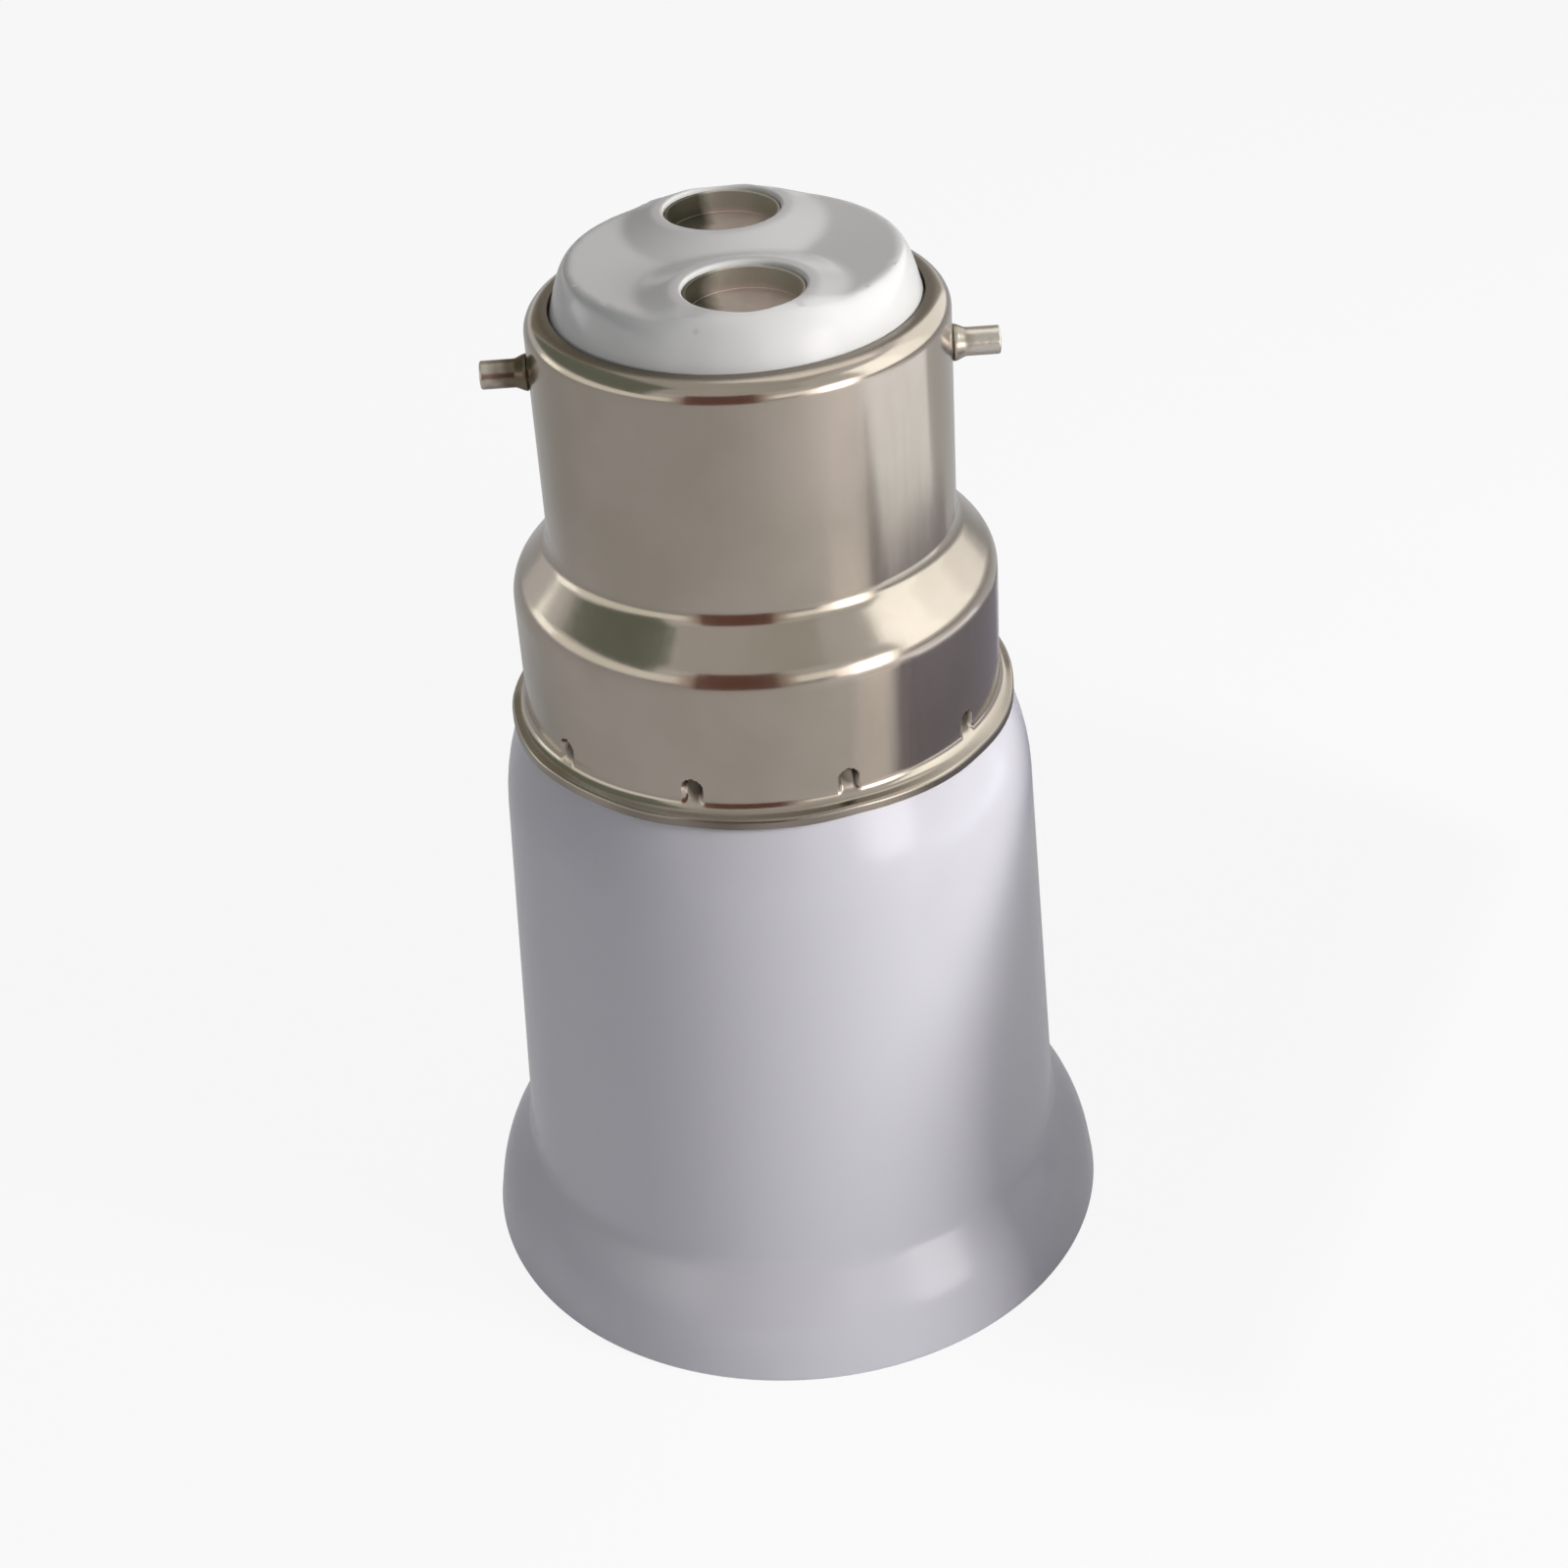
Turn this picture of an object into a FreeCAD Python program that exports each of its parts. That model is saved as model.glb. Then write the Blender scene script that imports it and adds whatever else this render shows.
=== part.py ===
"""Bayonet cap to Edison screw lamp socket adapter, standing on its flared mouth.

Millimetres, +Z up, origin at the middle of the mouth's rim plane. The side pins lie along X.
Turned pieces are outlines in the radius and height plane, revolved about Z. A rounded corner is
made of a few short flats, which keeps the solids light.
"""
import FreeCAD, Part
import math
import os

from FreeCAD import Vector

# Housing: flared skirt, tapering body, rounded shoulder
mouth_radius = 18.6
flare_radius = 18.05
flare_height = 3.3
flare_round = 9.0
waist_radius = 16.0
waist_height = 6.6
body_top_radius = 14.8
shoulder_drop = 3.75
shoulder_round = 13.0
seat_radius = 13.55
seat_height = 35.35
skirt_wall = 2.3
skirt_depth = 3.6
partition_height = 27.0
partition_thickness = 2.4
neck_wall = 3.4
neck_height = 43.0

# Bayonet shell: drawn sheet with a cone shoulder, a collar and an out-turned lip
shell_sheet = 0.35
cap_radius = 11.0
rim_height = 58.9
rim_ring_width = 1.3
rim_round = 1.1
shoulder_top_height = 46.0
collar_radius = 13.15
collar_top_height = 43.6
collar_round = 1.1
lip_radius = 14.05
lip_rise = 0.85
lip_edge = 0.5
dimple_count = 10
dimple_width = 1.1
dimple_depth = 0.4
dimple_length = 1.5
dimple_rise = 0.45

# Side pins
pin_height = 55.4
pin_span = 27.0
pin_radius = 0.75
pin_collar_radius = 1.0
pin_collar_length = 0.7
pin_head_radius = 1.4
pin_head_thickness = 0.6

# Insulator in the end of the cap, and its two contact cups
contact_spacing = 10.6
contact_turn_deg = 4.5
cup_radius = 3.05
cup_sheet = 0.25
cup_depth = 1.35
cup_floor = 0.35
dish_edge_radius = 8.9
dish_edge_rise = 2.35
dish_sag = 0.65
boss_rise = 2.7
boss_rim_width = 0.65
boss_slope_deg = 17.0
insulator_wall = 1.5
insulator_bevel = 0.6
insulator_web = 1.65
pin_slot_width = 3.3

# Screw shell: drawn sleeve that the lamp's thread runs in, with its plain throat above
thread_major_radius = 13.4
screw_sheet = 0.35
screw_rim_height = 6.3
screw_throat_radius = 12.2
screw_throat_height = 21.5
screw_throat_rise = 1.0
screw_hole_radius = 7.6
lug_width = 3.0
lug_reach = 8.4
front_lug_end = 6.9
rear_lug_end = 4.4

# Sprung centre contact: folded leaf with a riveted button
leaf_sheet = 0.4
leaf_width = 5.0
leaf_foot_end = 6.3
leaf_fold_reach = 5.3
leaf_fold_height = 3.4
leaf_fold_round = 1.5
leaf_drop = 4.4
leaf_pad_start = 2.0
leaf_pad_end = 2.2
rivet_offset = 4.9
rivet_radius = 1.0
rivet_head_radius = 1.6
rivet_head_thickness = 0.6
rivet_stand = 0.5
button_radius = 1.9
button_height = 0.85
button_edge = 0.45
button_shank_radius = 0.75
button_stand = 0.4

# Stiff leads from the contact cups down to the partition
lead_radius = 0.6

# Fits
slip_gap = 0.05
seat_gap = 0.15
shell_gap = 0.25

AXIS = Vector(0, 0, 1)
ORIGIN = Vector(0, 0, 0)

# Heights and radii that follow from the sizes above
contact_radius = contact_spacing / 2
rim_inner_radius = cap_radius - rim_ring_width
flange_height = rim_height - shell_sheet - slip_gap
dish_edge_height = rim_height + dish_edge_rise
boss_height = rim_height + boss_rise
cup_floor_height = boss_height - slip_gap - cup_depth
recess_height = cup_floor_height - cup_floor
web_height = recess_height - insulator_web
insulator_radius = cap_radius - shell_sheet - shell_gap
neck_radius = collar_radius - shell_sheet - seat_gap
neck_inner_radius = neck_radius - neck_wall
lip_height = seat_height - seat_gap
collar_base_height = lip_height + lip_rise
dimple_low = lip_height + lip_edge + dimple_rise
partition_top = partition_height + partition_thickness
bore_radius = thread_major_radius + screw_sheet + shell_gap
leaf_under = partition_height - leaf_sheet
pad_under = partition_height - leaf_drop
pad_top = pad_under + leaf_sheet
rivet_top = partition_top + rivet_stand
lug_low = partition_height - screw_sheet
lug_top = partition_top + slip_gap + screw_sheet


def rounded(corners):
    """Points of an outline, with each (x, z, round, flats) corner turned in that many flats."""
    points = [Vector(c[0], 0, c[1]) for c in corners]
    count = len(points)
    result = []
    for i, corner in enumerate(corners):
        if len(corner) == 2:
            result.append(points[i])
            continue
        before = points[i - 1] - points[i]
        after = points[(i + 1) % count] - points[i]
        half_turn = (math.pi - before.getAngle(after)) / 2
        before.normalize()
        after.normalize()
        radius, flats = corner[2:]
        bisector = (before + after).normalize()
        centre = points[i] + bisector * (radius / math.cos(half_turn))
        arm = points[i] + before * (radius * math.tan(half_turn)) - centre
        sense = 1 if bisector.cross(arm).y > 0 else -1
        for step in range(flats + 1):
            angle = math.degrees(sense * 2 * half_turn) * step / flats
            result.append(centre + FreeCAD.Rotation(Vector(0, 1, 0), angle).multVec(arm))
    return result


def face(points):
    """Flat face inside a closed outline of points."""
    return Part.Face(Part.makePolygon(points + points[:1]))


def turned(corners):
    """Solid of revolution about Z from an outline of (radius, height) corners."""
    return face(rounded(corners)).revolve(ORIGIN, AXIS, 360)


def sheet(points, thickness):
    """Closed outline of a bent sheet: the given side and its offset to the right of travel."""
    directions = [(b - a).normalize() for a, b in zip(points, points[1:])]
    rights = [Vector(d.z, 0, -d.x) for d in directions]
    offset = [points[0] + rights[0] * thickness]
    for point, a, b in zip(points[1:], rights, rights[1:]):
        offset.append(point + (a + b) * (thickness / (1 + a.dot(b))))
    offset.append(points[-1] + rights[-1] * thickness)
    return points + offset[::-1]


def post(radius, low, high, x=0, y=0):
    """Upright cylinder between two heights."""
    return Part.makeCylinder(radius, high - low, Vector(x, y, low))


def block(x_low, x_high, y_low, y_high, z_low, z_high):
    """Box between two corners."""
    return Part.makeBox(x_high - x_low, y_high - y_low, z_high - z_low, Vector(x_low, y_low, z_low))


def tidied(shape):
    """One clean solid with split faces joined again."""
    shape = shape.removeSplitter()
    return shape.Solids[0] if len(shape.Solids) == 1 else shape


def contact_place(side):
    """Middle of a contact: side -1 is the front one, on a line turned a little from Y."""
    turn = math.radians(contact_turn_deg)
    return Vector(-side * contact_radius * math.sin(turn), side * contact_radius * math.cos(turn), 0)


def lug_box(side, end, gap):
    """Leg of a screw shell lug up through the partition, grown by a gap on its flat sides."""
    reach = sorted((side * (lug_reach + gap), side * (lug_reach - screw_sheet - gap)))
    half = lug_width / 2 + gap
    return block(-half, half, reach[0], reach[1], lug_low, end)


def housing_body():
    """White moulding: skirt, body, shoulder and neck outside, bore and partition inside."""
    body = turned([
        (mouth_radius, 0),
        (flare_radius, flare_height, flare_round, 3),
        (waist_radius, waist_height),
        (body_top_radius, seat_height - shoulder_drop, shoulder_round, 2),
        (seat_radius, seat_height),
        (neck_radius, seat_height),
        (neck_radius, neck_height),
        (neck_inner_radius, neck_height),
        (neck_inner_radius, partition_top),
        (0, partition_top),
        (0, partition_height),
        (bore_radius, partition_height),
        (bore_radius, skirt_depth),
        (mouth_radius - skirt_wall, skirt_depth),
        (mouth_radius - skirt_wall, 0),
    ])
    body = body.cut(post(rivet_radius + slip_gap, lug_low, rivet_top, 0, -rivet_offset))
    for side in (-1, 1):
        body = body.cut(lug_box(side, rivet_top, slip_gap))
    return tidied(body.cut(dimples(collar_radius, shell_sheet + slip_gap)))


def dimples(outer_radius, growth):
    """Ring of wedge punch marks, deepest at their tops and grown on every inner side."""
    half = dimple_width / 2 + growth
    low = dimple_low - growth
    top = dimple_low + dimple_length + growth
    wedge = face([
        Vector(outer_radius, -half, low),
        Vector(outer_radius, -half, top),
        Vector(collar_radius - dimple_depth - growth, -half, top),
        Vector(collar_radius - dimple_depth / 2 - growth, -half, low),
    ]).extrude(Vector(0, 2 * half, 0))
    step = 360 / dimple_count
    return [wedge.rotated(ORIGIN, AXIS, -90 + (i + 0.5) * step) for i in range(dimple_count)]


def bayonet_shell():
    """Drawn cap sleeve with its pin holes and the ring of crimp dimples in the collar."""
    outside = rounded([
        (rim_inner_radius, rim_height),
        (cap_radius, rim_height, rim_round, 2),
        (cap_radius, shoulder_top_height),
        (collar_radius, collar_top_height, collar_round, 1),
        (collar_radius, collar_base_height),
        (lip_radius, lip_height + lip_edge),
        (lip_radius, lip_height),
    ])
    shell = face(sheet(outside, shell_sheet)).revolve(ORIGIN, AXIS, 360)
    shell = shell.cut(Part.makeCylinder(pin_radius + slip_gap, 2 * pin_span,
                                        Vector(-pin_span, 0, pin_height), Vector(1, 0, 0)))
    shell = shell.fuse(dimples(collar_radius - shell_sheet / 2, shell_sheet))
    return tidied(shell.cut(dimples(lip_radius, 0)))


def bayonet_pin(side):
    """Side pin: shank with a coned collar outside, riveted over inside the sleeve."""
    inner_wall = cap_radius - shell_sheet
    head_face = math.sqrt(inner_wall ** 2 - pin_head_radius ** 2) - slip_gap
    collar_start = cap_radius + slip_gap
    pin = turned([
        (0, head_face - pin_head_thickness),
        (pin_head_radius, head_face - pin_head_thickness),
        (pin_head_radius, head_face),
        (pin_radius, head_face),
        (pin_radius, collar_start),
        (pin_collar_radius, collar_start),
        (pin_radius, collar_start + pin_collar_length),
        (pin_radius, pin_span / 2),
        (0, pin_span / 2),
    ])
    pin.rotate(ORIGIN, Vector(0, 1, 0), 90 * side)
    pin.translate(Vector(0, 0, pin_height))
    return pin


def cap_insulator():
    """White end piece: dished end with two bosses, and a skirt that stands on the neck."""
    base_height = neck_height + slip_gap
    edge_base = rim_inner_radius - slip_gap
    body = turned([
        (0, dish_edge_height - dish_sag),
        (dish_edge_radius, dish_edge_height),
        (edge_base, flange_height),
        (insulator_radius - insulator_bevel, flange_height),
        (insulator_radius, flange_height - insulator_bevel),
        (insulator_radius, base_height),
        (insulator_radius - insulator_wall, base_height),
        (insulator_radius - insulator_wall, web_height),
        (0, web_height),
    ])
    band_lean = (edge_base - dish_edge_radius) / (dish_edge_height - flange_height)
    band_rise = boss_height - flange_height
    band = Part.makeCone(edge_base, edge_base - band_lean * band_rise, band_rise,
                         Vector(0, 0, flange_height))
    boss_top_radius = cup_radius + boss_rim_width
    boss_drop = boss_height - dish_edge_height + dish_sag
    boss_base_radius = boss_top_radius + boss_drop / math.tan(math.radians(boss_slope_deg))
    for side in (-1, 1):
        base = contact_place(side) + Vector(0, 0, boss_height - boss_drop)
        boss = Part.makeCone(boss_base_radius, boss_top_radius, boss_drop, base)
        body = body.fuse(boss.common(band))
    for side in (-1, 1):
        place = contact_place(side)
        body = body.cut(post(cup_radius + slip_gap, recess_height, boss_height + 1, place.x, place.y))
        body = body.cut(post(lead_radius + seat_gap, web_height - 1, boss_height, place.x, place.y))
    slot_top = pin_height + pin_head_radius + seat_gap
    slot = block(-collar_radius, collar_radius, -pin_slot_width / 2, pin_slot_width / 2,
                 base_height - 1, slot_top)
    return tidied(body.cut(slot))


def contact_cup(side):
    """Sunk contact: a shallow drawn cup, open upward."""
    cup = turned([
        (0, cup_floor_height),
        (cup_radius - cup_sheet, cup_floor_height),
        (cup_radius - cup_sheet, boss_height - slip_gap),
        (cup_radius, boss_height - slip_gap),
        (cup_radius, recess_height),
        (0, recess_height),
    ])
    cup.translate(contact_place(side))
    return cup


def screw_shell():
    """Drawn sleeve with a narrower closed end, and two lugs bent over on top of the partition."""
    shell = turned([
        (thread_major_radius, screw_rim_height),
        (thread_major_radius, screw_throat_height),
        (screw_throat_radius, screw_throat_height + screw_throat_rise),
        (screw_throat_radius, lug_low),
        (screw_hole_radius, lug_low),
        (screw_hole_radius, partition_height),
        (screw_throat_radius + screw_sheet, partition_height),
        (screw_throat_radius + screw_sheet, screw_throat_height + screw_throat_rise + screw_sheet / 2),
        (thread_major_radius + screw_sheet, screw_throat_height + screw_sheet / 2),
        (thread_major_radius + screw_sheet, screw_rim_height),
    ])
    for side, end in ((-1, front_lug_end), (1, rear_lug_end)):
        shell = shell.fuse(lug_box(side, lug_top, 0))
        reach = sorted((side * lug_reach, side * end))
        fold = block(-lug_width / 2, lug_width / 2, reach[0], reach[1], lug_top - screw_sheet, lug_top)
        shell = shell.fuse(fold)
    return tidied(shell)


def centre_contact_leaf():
    """Folded spring strip: foot under the partition, fold, sloping arm and flat pad."""
    upper = rounded([
        (-leaf_foot_end, partition_height),
        (leaf_fold_reach, partition_height, leaf_fold_round, 3),
        (leaf_fold_reach, partition_height - leaf_fold_height, leaf_fold_round, 3),
        (leaf_pad_start, pad_under),
        (-leaf_pad_end, pad_under),
    ])
    leaf = face(sheet(upper, leaf_sheet)).extrude(Vector(0, leaf_width, 0))
    leaf.translate(Vector(0, -leaf_width / 2, 0))
    leaf = leaf.cut(post(rivet_radius + slip_gap, leaf_under - slip_gap, rivet_top, -rivet_offset))
    leaf = leaf.cut(post(button_shank_radius + slip_gap, pad_under - 1, pad_top + slip_gap))
    return tidied(leaf.rotated(ORIGIN, AXIS, 90))


def leaf_rivet():
    """Rivet with its flat head under the leaf's foot, standing up through the partition."""
    rivet = turned([
        (0, leaf_under - rivet_head_thickness),
        (rivet_head_radius, leaf_under - rivet_head_thickness),
        (rivet_head_radius, leaf_under),
        (rivet_radius, leaf_under),
        (rivet_radius, rivet_top),
        (0, rivet_top),
    ])
    rivet.translate(Vector(0, -rivet_offset, 0))
    return rivet


def centre_contact_button():
    """Contact point: bevelled face under the leaf's pad, its shank standing up through it."""
    return turned([
        (0, pad_under - button_height),
        (button_radius - button_edge, pad_under - button_height),
        (button_radius, pad_under - button_height + button_edge),
        (button_radius, pad_under),
        (button_shank_radius, pad_under),
        (button_shank_radius, pad_top + button_stand),
        (0, pad_top + button_stand),
    ])


def lead_wire(side, foot):
    """Straight stiff lead from under a contact cup down to its foot."""
    top = contact_place(side) + Vector(0, 0, recess_height)
    end = Part.Face(Part.Wire(Part.makeCircle(lead_radius, foot)))
    return end.extrude(top - foot)


def all_parts():
    """Every piece by its name."""
    return {
        "housing_body": housing_body(),
        "bayonet_shell": bayonet_shell(),
        "bayonet_pin_left": bayonet_pin(-1),
        "bayonet_pin_right": bayonet_pin(1),
        "cap_insulator": cap_insulator(),
        "contact_cup_front": contact_cup(-1),
        "contact_cup_rear": contact_cup(1),
        "screw_shell": screw_shell(),
        "centre_contact_leaf": centre_contact_leaf(),
        "leaf_rivet": leaf_rivet(),
        "centre_contact_button": centre_contact_button(),
        "lead_wire_centre": lead_wire(-1, Vector(0, -rivet_offset, rivet_top)),
        "lead_wire_shell": lead_wire(1, Vector(0, contact_radius, lug_top)),
    }


os.makedirs("parts", exist_ok=True)
for name, shape in all_parts().items():
    shape.exportStep("parts/" + name + ".step")
    print(name, "solids", len(shape.Solids), "valid", shape.isValid(), "volume", round(shape.Volume, 2))
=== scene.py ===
"""Looks of the bayonet to screw lamp socket adapter: finely rounded pieces over the CAD frame,
procedural plastic and nickel, a pale floor, soft studio light and the photograph's viewpoint.

Lengths are millimetres in the outlines and metres in Blender.
"""
import bmesh
import bpy
import math
from mathutils import Matrix, Vector
from mathutils.geometry import delaunay_2d_cdt


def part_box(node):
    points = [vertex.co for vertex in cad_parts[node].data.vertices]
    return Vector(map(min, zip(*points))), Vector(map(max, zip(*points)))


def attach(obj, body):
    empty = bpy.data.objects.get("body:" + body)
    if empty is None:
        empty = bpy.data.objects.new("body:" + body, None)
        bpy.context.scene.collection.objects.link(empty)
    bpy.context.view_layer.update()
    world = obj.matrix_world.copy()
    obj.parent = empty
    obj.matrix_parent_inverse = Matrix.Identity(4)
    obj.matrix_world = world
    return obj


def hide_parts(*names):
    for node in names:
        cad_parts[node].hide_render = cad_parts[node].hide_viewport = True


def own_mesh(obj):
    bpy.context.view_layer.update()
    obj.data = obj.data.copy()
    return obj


MM = 0.001


# Camera, found from the outline in the photograph

CAMERA_BACK = 129.99
CAMERA_HEIGHT = 113.81
CAMERA_YAW = -0.006
CAMERA_PITCH = 0.5789
CAMERA_ROLL = 0.0671
CAMERA_LENS = 62.35
CAMERA_NEAR = 0.005
SENSOR_WIDTH = 36.0


def add_camera():
    """Camera behind -Y, looking down, with the roll of the photograph."""
    yaw, pitch, roll = CAMERA_YAW, CAMERA_PITCH, CAMERA_ROLL
    level = math.cos(pitch)
    look = Vector((-math.sin(yaw) * level, math.cos(yaw) * level, -math.sin(pitch)))
    right = Vector((math.cos(yaw), math.sin(yaw), 0))
    up = right.cross(look)
    side = math.cos(roll) * right - math.sin(roll) * up
    top = math.sin(roll) * right + math.cos(roll) * up
    camera = bpy.data.objects.new("camera", bpy.data.cameras.new("camera"))
    camera.data.lens = CAMERA_LENS
    camera.data.sensor_width = SENSOR_WIDTH
    camera.data.clip_start = CAMERA_NEAR
    camera.matrix_world = Matrix((side, top, -look)).transposed().to_4x4()
    camera.location = Vector((0, -CAMERA_BACK, CAMERA_HEIGHT)) * MM
    bpy.context.scene.collection.objects.link(camera)
    bpy.context.scene.camera = camera


# Sizes from the frame

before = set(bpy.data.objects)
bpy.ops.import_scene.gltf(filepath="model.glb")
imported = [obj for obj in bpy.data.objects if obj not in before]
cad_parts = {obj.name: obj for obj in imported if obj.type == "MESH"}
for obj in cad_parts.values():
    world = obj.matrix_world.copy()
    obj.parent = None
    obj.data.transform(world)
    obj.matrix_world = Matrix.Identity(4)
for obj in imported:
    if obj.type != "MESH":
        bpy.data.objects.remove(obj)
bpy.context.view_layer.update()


def low(node, axis=2):
    """Lowest coordinate of a CAD node in millimetres."""
    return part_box(node)[0][axis] / MM


def high(node, axis=2):
    """Highest coordinate of a CAD node in millimetres."""
    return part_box(node)[1][axis] / MM


MOUTH_R = high("housing_body", 0)
NECK_TOP = high("housing_body")
LIP_R = high("bayonet_shell", 0)
LIP_Z = low("bayonet_shell")
RIM_Z = high("bayonet_shell")
BOSS_Z = high("cap_insulator")
INSULATOR_R = high("cap_insulator", 0)
INSULATOR_Z = low("cap_insulator")
PIN_REACH = high("bayonet_pin_right", 0)
PIN_ROOT = low("bayonet_pin_right", 0)
PIN_Z = (high("bayonet_pin_right") + low("bayonet_pin_right")) / 2
CUP_LOW = low("contact_cup_front")
CUP_TOP = high("contact_cup_front")
CUP_R = (high("contact_cup_front", 0) - low("contact_cup_front", 0)) / 2
CONTACTS = {
    node: Vector([(high(node, axis) + low(node, axis)) / 2 for axis in (0, 1)])
    for node in ("contact_cup_front", "contact_cup_rear")
}
SCREW_R = high("screw_shell", 0)
SCREW_LOW = low("screw_shell")
LUG_TOP = high("screw_shell")
PARTITION_Z = high("centre_contact_leaf")
PAD_Z = low("centre_contact_leaf")
LEAF_HALF = high("centre_contact_leaf", 0)
LEAF_BACK = high("centre_contact_leaf", 1)
LEAF_FRONT = low("centre_contact_leaf", 1)


# Mesh helpers

WELD = 0.0005


def clamped(value):
    """The value held between 0 and 1."""
    return max(0.0, min(1.0, value))


def softened(corners, step_deg=7.0):
    """Points of an outline whose (x, z, round) corners are turned as arcs in small steps."""
    points = [Vector(c[:2]) for c in corners]
    result = []
    for i, corner in enumerate(corners):
        if len(corner) == 2:
            result.append(points[i])
            continue
        before = (points[i - 1] - points[i]).normalized()
        after = (points[i + 1] - points[i]).normalized()
        half = (math.pi - before.angle(after)) / 2
        bisector = (before + after).normalized()
        centre = points[i] + bisector * (corner[2] / math.cos(half))
        arm = points[i] + before * (corner[2] * math.tan(half)) - centre
        sense = math.copysign(1, arm.x * -bisector.y + arm.y * bisector.x)
        count = max(2, round(math.degrees(2 * half) / step_deg))
        for k in range(count + 1):
            result.append(centre + Matrix.Rotation(sense * 2 * half * k / count, 2) @ arm)
    return result


def divided(points, longest, span=None):
    """The outline with its long runs cut shorter, only within a span of heights if one is given."""
    result = [points[0]]
    for a, b in zip(points, points[1:]):
        inside = span is None or max(a.y, b.y) > span[0] and min(a.y, b.y) < span[1]
        count = max(1, math.ceil((b - a).length / longest)) if inside else 1
        result += [a.lerp(b, k / count) for k in range(1, count + 1)]
    return result


def thick(points, sheet):
    """Closed outline of a sheet from its outer side, with the inner side offset to the right."""
    runs = [(b - a).normalized() for a, b in zip(points, points[1:])]
    rights = [Vector((run.y, -run.x)) for run in runs]
    inner = [points[0] + rights[0] * sheet]
    for point, a, b in zip(points[1:], rights, rights[1:]):
        inner.append(point + (a + b) * (sheet / (1 + a.dot(b))))
    inner.append(points[-1] + rights[-1] * sheet)
    return points + inner[::-1]


def new_object(name, bm, material, sharp_deg=38):
    """Object from a bmesh in millimetres, scaled to metres, smooth except at sharp edges."""
    bmesh.ops.remove_doubles(bm, verts=bm.verts, dist=WELD)
    bmesh.ops.scale(bm, vec=(MM, MM, MM), verts=bm.verts)
    bmesh.ops.recalc_face_normals(bm, faces=bm.faces)
    mesh = bpy.data.meshes.new(name)
    bm.to_mesh(mesh)
    bm.free()
    mesh.materials.append(material)
    mesh.shade_smooth()
    mesh.set_sharp_from_angle(angle=math.radians(sharp_deg))
    piece = bpy.data.objects.new(name, mesh)
    bpy.context.scene.collection.objects.link(piece)
    return piece


def even_angles(count):
    """Angles all round, in radians."""
    return [2 * math.pi * k / count for k in range(count)]


def lathe(bm, outline, angles, centre=(0, 0), closed=False, shape=None):
    """Adds a turned surface: outline points (radius, height) carried round the given angles."""
    rings = []
    for point in outline:
        if point.x < 1e-6:
            rings.append([bm.verts.new((centre[0], centre[1], point.y))])
            continue
        ring = []
        for angle in angles:
            radius, height = shape(point.x, point.y, angle) if shape else (point.x, point.y)
            x = centre[0] + radius * math.cos(angle)
            y = centre[1] + radius * math.sin(angle)
            ring.append(bm.verts.new((x, y, height)))
        rings.append(ring)
    pairs = list(zip(rings, rings[1:]))
    if closed:
        pairs.append((rings[-1], rings[0]))
    for a, b in pairs:
        for k in range(len(angles)):
            j = (k + 1) % len(angles)
            corners = [a[k % len(a)], a[j % len(a)], b[j % len(b)], b[k % len(b)]]
            unique = list(dict.fromkeys(corners))
            if len(unique) > 2:
                bm.faces.new(unique)


def add_strip(bm, path, sheet, half):
    """Adds a bent strip of the given sheet and half width: its path runs over (-y, z)."""
    loop = thick(path, sheet)
    total = len(loop)
    sides = [[bm.verts.new((x, -p.x, p.y)) for p in loop] for x in (-half, half)]
    left, right = sides
    for k in range(total):
        j = (k + 1) % total
        bm.faces.new((left[k], left[j], right[j], right[k]))
    for row in sides:
        for k in range(len(path) - 1):
            bm.faces.new((row[k], row[k + 1], row[total - 2 - k], row[total - 1 - k]))


# Materials

ALL_WAYS = (1, 1, 1)
ALONG_Y = (1, 0.1, 1)
ALONG_Z = (1, 1, 0.08)

MOULDINGS = {
    "housing": ("housing_plastic", (0.72, 0.708, 0.75), (0.695, 0.683, 0.73), 0.16),
    "insulator": ("insulator_plastic", (0.84, 0.835, 0.805), (0.81, 0.81, 0.78), 0.18),
}
SHEETS = {
    "nickel": ("nickel_plate", (0.44, 0.385, 0.33), (0.39, 0.345, 0.285), 0.17, ALONG_Z),
    "cup": ("contact_plate", (0.68, 0.59, 0.54), (0.58, 0.5, 0.46), 0.5, ALL_WAYS),
    "screw": ("screw_shell_metal", (0.6, 0.57, 0.52), (0.5, 0.47, 0.42), 0.22, ALONG_Z),
    "bronze": ("spring_bronze", (0.62, 0.42, 0.2), (0.52, 0.34, 0.15), 0.3, ALONG_Y),
    "brass": ("contact_brass", (0.68, 0.5, 0.22), (0.56, 0.4, 0.17), 0.25, ALL_WAYS),
    "copper": ("lead_copper", (0.62, 0.3, 0.16), (0.5, 0.22, 0.1), 0.35, ALONG_Z),
}
MOTTLE_SCALE = 45
GLOSS_SCALE = 60
CLOUD_SCALE = 110
LINE_SCALE = 2600
LINE_BUMP = 0.002
SPECK_PLACE = (-2.1, -8.9, 60.9)
SPECK_R = 0.32
SPECK_COLOUR = (0.22, 0.2, 0.17)
# Dark, dull layer on the sleeve: painted shade in the crimp dimples and at the rim, and a darker
# band along the lip
PAINTED_SHADE_COLOUR = (0.055, 0.05, 0.038)
PAINTED_SHADE_ROUGHNESS = (0.5, 0.5, 0.5)
PIN_RAMP = [(0.0, (0.16, 0.13, 0.09)), (0.5, (0.37, 0.33, 0.27)), (1.0, (0.58, 0.54, 0.48))]
PIN_RAMP_ENDS = (11.2, 12.6)
PIN_MOTTLE = 0.5
# How much lighter the right pin is painted than the left: painted light on the side the lamp faces
PIN_LIT_SIDE = 0.9
PIN_BUMP = 0.02
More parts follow.
